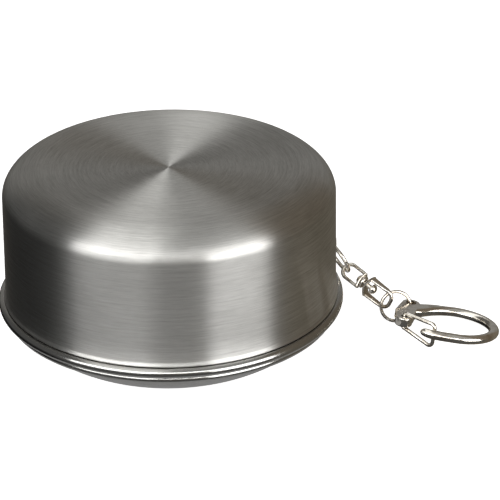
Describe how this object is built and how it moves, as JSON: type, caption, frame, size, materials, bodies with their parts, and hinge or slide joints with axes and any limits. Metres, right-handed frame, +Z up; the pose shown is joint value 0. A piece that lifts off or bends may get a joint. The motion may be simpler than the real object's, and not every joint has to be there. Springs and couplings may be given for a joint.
{
  "type": "collapsible cup",
  "caption": "Collapsible stainless steel cup, closed under a brushed press-on lid, with a swivel key chain and a snap clip on the lid.",
  "frame": {"origin": "On the table under the middle of the cup's foot. +Z is up along the cup's axis and +X is the side where the chain lies.", "axes": "+Z up, +X towards the chain, +Y away from the viewer"},
  "size_m": [0.1241, 0.0854, 0.0465],
  "materials": {
    "lid_brushed": "brushed, circular on the top and round the wall",
    "cup_polished": "fine brushed to polished",
    "chain_plated": "polished nickel plating"
  },
  "bodies": {
    "base": {"base_dish": "cup_polished", "inner_cup": "cup_polished"},
    "ring_inner": {"cup_ring_middle_inner": "cup_polished"},
    "ring_outer": {"cup_ring_middle_outer": "cup_polished"},
    "ring_rim": {"cup_ring_rim": "cup_polished"},
    "lid": {"lid_shell": "lid_brushed", "lid_lug": "chain_plated"},
    "lug_ring": {"lug_ring": "chain_plated"},
    "swivel_upper": {"swivel_eye": "chain_plated", "swivel_washer": "chain_plated", "swivel_rivet": "chain_plated"},
    "swivel_lower": {"swivel_loop": "chain_plated"},
    "jump_ring": {"jump_ring": "chain_plated"},
    "clip": {"clip_hook": "chain_plated"},
    "gate": {"clip_gate": "chain_plated"}
  },
  "joints": [
    {"name": "lid_lift", "type": "slide", "parent": "base", "child": "lid", "axis": [0, 0, 1], "range_m": [0, 0.12]},
    {"name": "ring_inner_draw", "type": "slide", "parent": "base", "child": "ring_inner", "axis": [0, 0, 1], "range_m": [0, 0.0242]},
    {"name": "ring_outer_draw", "type": "slide", "parent": "ring_inner", "child": "ring_outer", "axis": [0, 0, 1], "range_m": [0, 0.0242]},
    {"name": "ring_rim_draw", "type": "slide", "parent": "ring_outer", "child": "ring_rim", "axis": [0, 0, 1], "range_m": [0, 0.0242]},
    {"name": "lug_ring_swing", "type": "hinge", "parent": "lid", "child": "lug_ring", "pos_m": [0.03995, 0.01445, 0.0176], "axis": [0.1584, -0.8535, 0.4965], "range_deg": [0, 60]},
    {"name": "swivel_swing", "type": "hinge", "parent": "lug_ring", "child": "swivel_upper", "pos_m": [0.04453, 0.01162, 0.01128], "axis": [0.1584, -0.8535, 0.4965], "range_deg": [-20, 40]},
    {"name": "swivel_spin", "type": "hinge", "parent": "swivel_upper", "child": "swivel_lower", "pos_m": [0.04787, 0.00942, 0.00951], "axis": [0.7442, -0.5142, -0.4262], "continuous": true},
    {"name": "jump_ring_swing", "type": "hinge", "parent": "swivel_lower", "child": "jump_ring", "pos_m": [0.0547, 0.0047, 0.0056], "axis": [0.3672, -0.218, 0.9042], "range_deg": [-18, 18]},
    {"name": "clip_swing", "type": "hinge", "parent": "jump_ring", "child": "clip", "pos_m": [0.05994, 0.00561, 0.00386], "axis": [0.0826, 0.2739, 0.9582], "range_deg": [-30, 40]},
    {"name": "gate_open", "type": "hinge", "parent": "clip", "child": "gate", "pos_m": [0.05765, -0.00417, 0.00514], "axis": [0.1573, 0.0912, 0.9833], "range_deg": [0, 35], "stiffness_Nm_per_rad": 0.005, "springref_deg": -11.46}
  ],
  "couplings": [
    {"joint": "ring_inner_draw", "follows": "lid_lift", "ratio": 0.20167},
    {"joint": "ring_outer_draw", "follows": "lid_lift", "ratio": 0.20167},
    {"joint": "ring_rim_draw", "follows": "lid_lift", "ratio": 0.20167}
  ]
}
